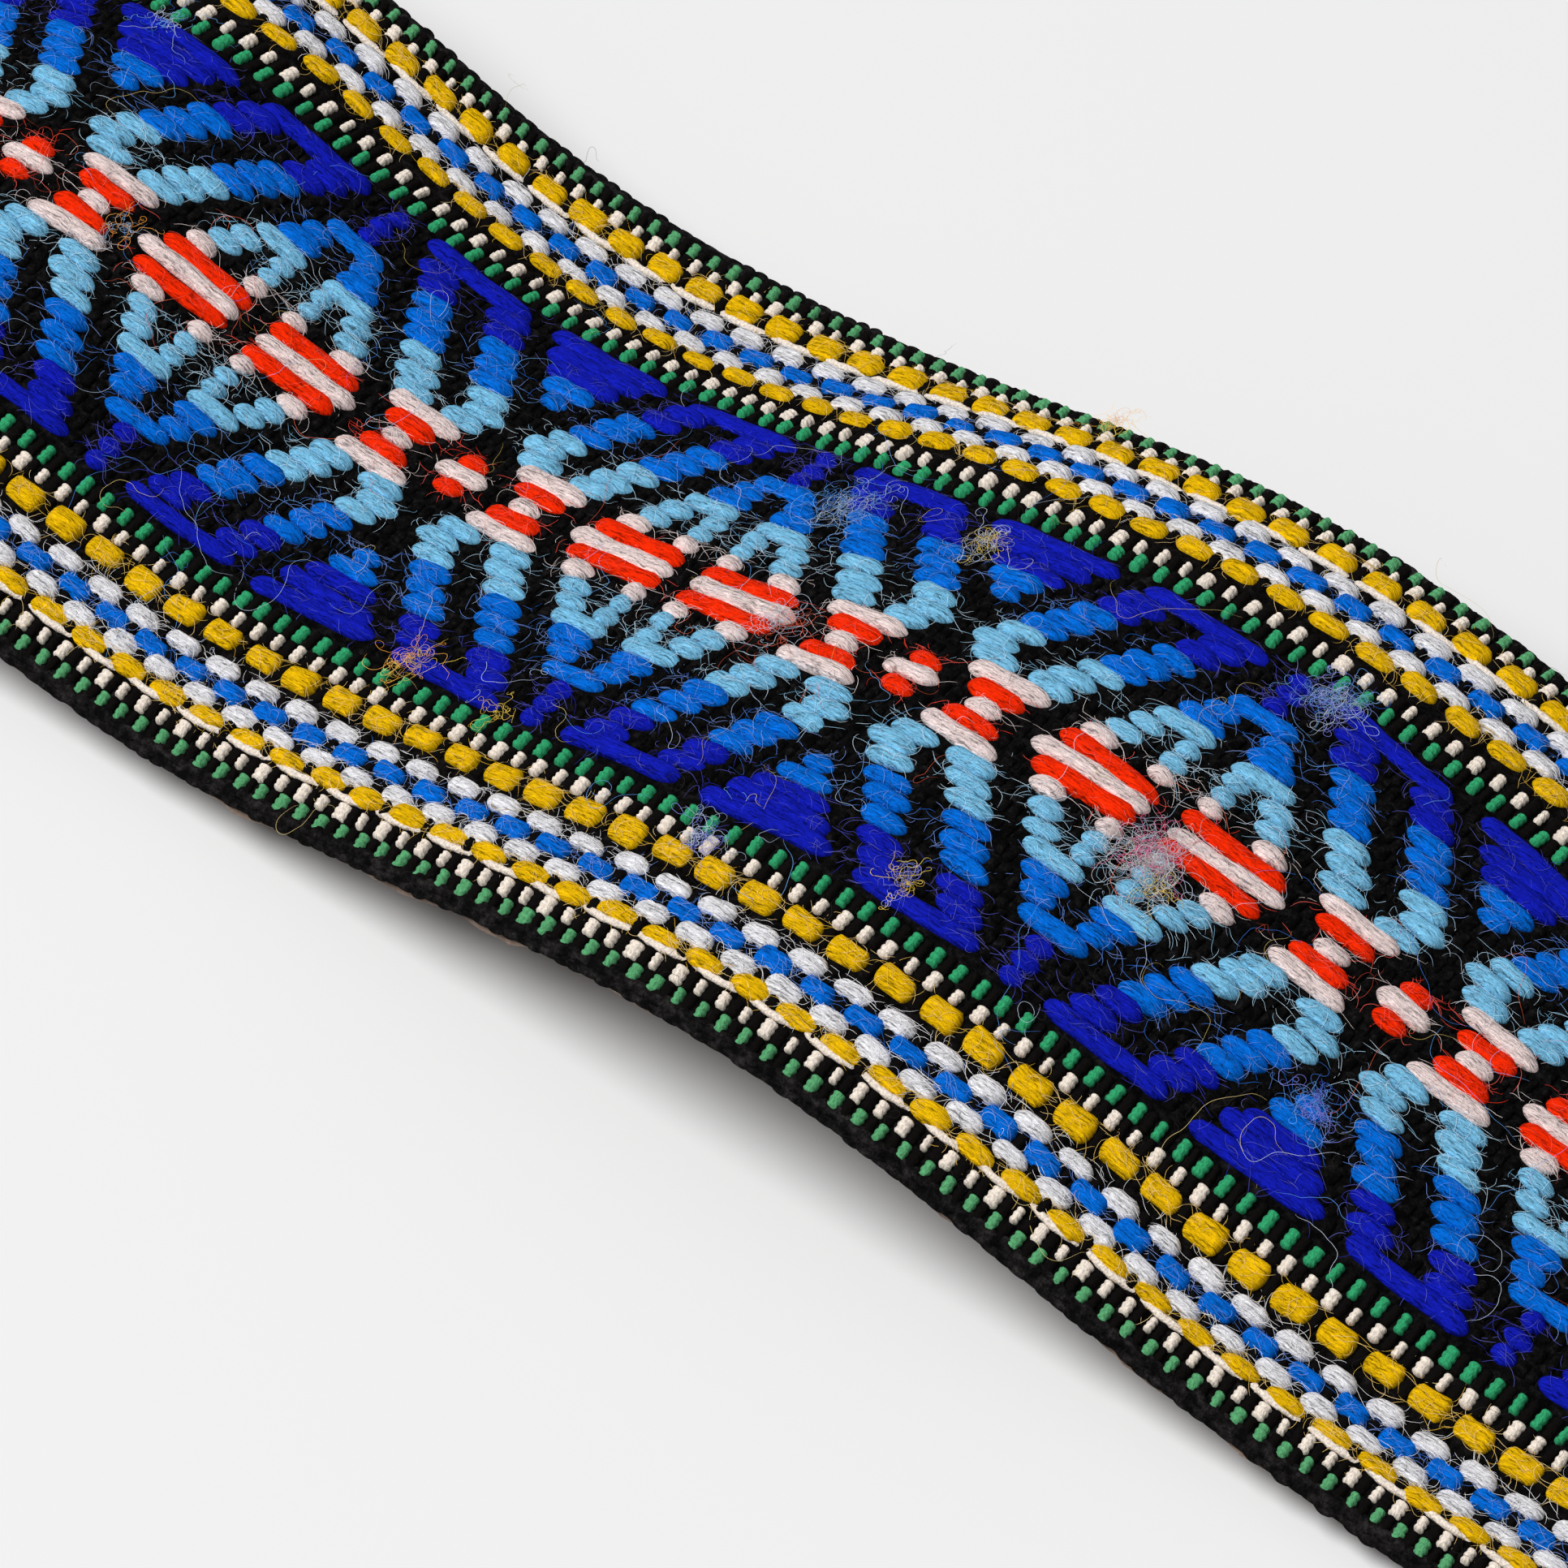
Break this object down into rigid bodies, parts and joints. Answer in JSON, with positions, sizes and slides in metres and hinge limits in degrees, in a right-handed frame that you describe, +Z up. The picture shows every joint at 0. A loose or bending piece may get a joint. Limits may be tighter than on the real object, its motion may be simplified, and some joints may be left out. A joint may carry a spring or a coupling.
{
  "type": "guitar strap",
  "caption": "Adjustable woven guitar strap with a sewn backing, a leather button tab at each end, a slider and a ring.",
  "frame": {"origin": "middle of the strap's length and width, on the surface it lies on", "axes": "+X along the strap from the front tab to the tail tab, +Y across it, +Z up from the surface"},
  "size_m": [1.12, 0.0594, 0.0135],
  "materials": {
    "woven_band": "matte woven wool floats on a black ground",
    "tan_backing": "matte cloth",
    "cream_thread": "twisted sewing thread",
    "black_leather": "satin",
    "black_webbing": "matte woven",
    "nickel_plate": "polished nickel"
  },
  "bodies": {
    "strap": {"band_front_run": "woven_band", "backing_front_run": "tan_backing", "band_slack_run": "woven_band", "backing_slack_run": "tan_backing", "seam_thread_near": "cream_thread", "seam_thread_far": "cream_thread", "front_tab_top": "black_leather", "front_tab_bottom": "black_leather", "front_tab_thread": "cream_thread", "front_tab_rivet_near": "nickel_plate", "front_tab_rivet_far": "nickel_plate"},
    "slider": {"slider_frame": "nickel_plate", "band_in_slider": "woven_band", "backing_in_slider": "tan_backing", "band_sewn_end": "woven_band", "backing_sewn_end": "tan_backing"},
    "ring_fold": {"band_top_run": "woven_band", "backing_top_run": "tan_backing", "band_under_run": "woven_band", "backing_under_run": "tan_backing", "band_ring_fold": "woven_band", "backing_ring_fold": "tan_backing"},
    "ring": {"ring": "nickel_plate"},
    "tail_tab": {"tail_webbing": "black_webbing", "tail_tab_top": "black_leather", "tail_tab_bottom": "black_leather", "tail_tab_thread": "cream_thread", "tail_tab_rivet_near": "nickel_plate", "tail_tab_rivet_far": "nickel_plate"}
  },
  "joints": [
    {"name": "slider_slide", "type": "slide", "parent": "strap", "child": "slider", "axis": [1, 0, 0], "range_m": [-0.08, 0.08], "deforming": ["band_slack_run", "backing_slack_run", "seam_thread_near", "seam_thread_far"]},
    {"name": "ring_slide", "type": "slide", "parent": "slider", "child": "ring_fold", "axis": [1, 0, 0], "range_m": [-0.04, 0.04], "deforming": ["band_top_run", "backing_top_run", "band_under_run", "backing_under_run"]},
    {"name": "ring_hinge", "type": "hinge", "parent": "ring_fold", "child": "ring", "pos_m": [0.414, 0, 0.0041], "axis": [0, -1, 0], "range_deg": [0, 75]},
    {"name": "tail_hinge", "type": "hinge", "parent": "ring", "child": "tail_tab", "pos_m": [0.43, 0, 0.0041], "axis": [0, -1, 0], "range_deg": [0, 90]}
  ],
  "couplings": [
    {"joint": "ring_slide", "follows": "slider_slide", "ratio": -0.5}
  ]
}
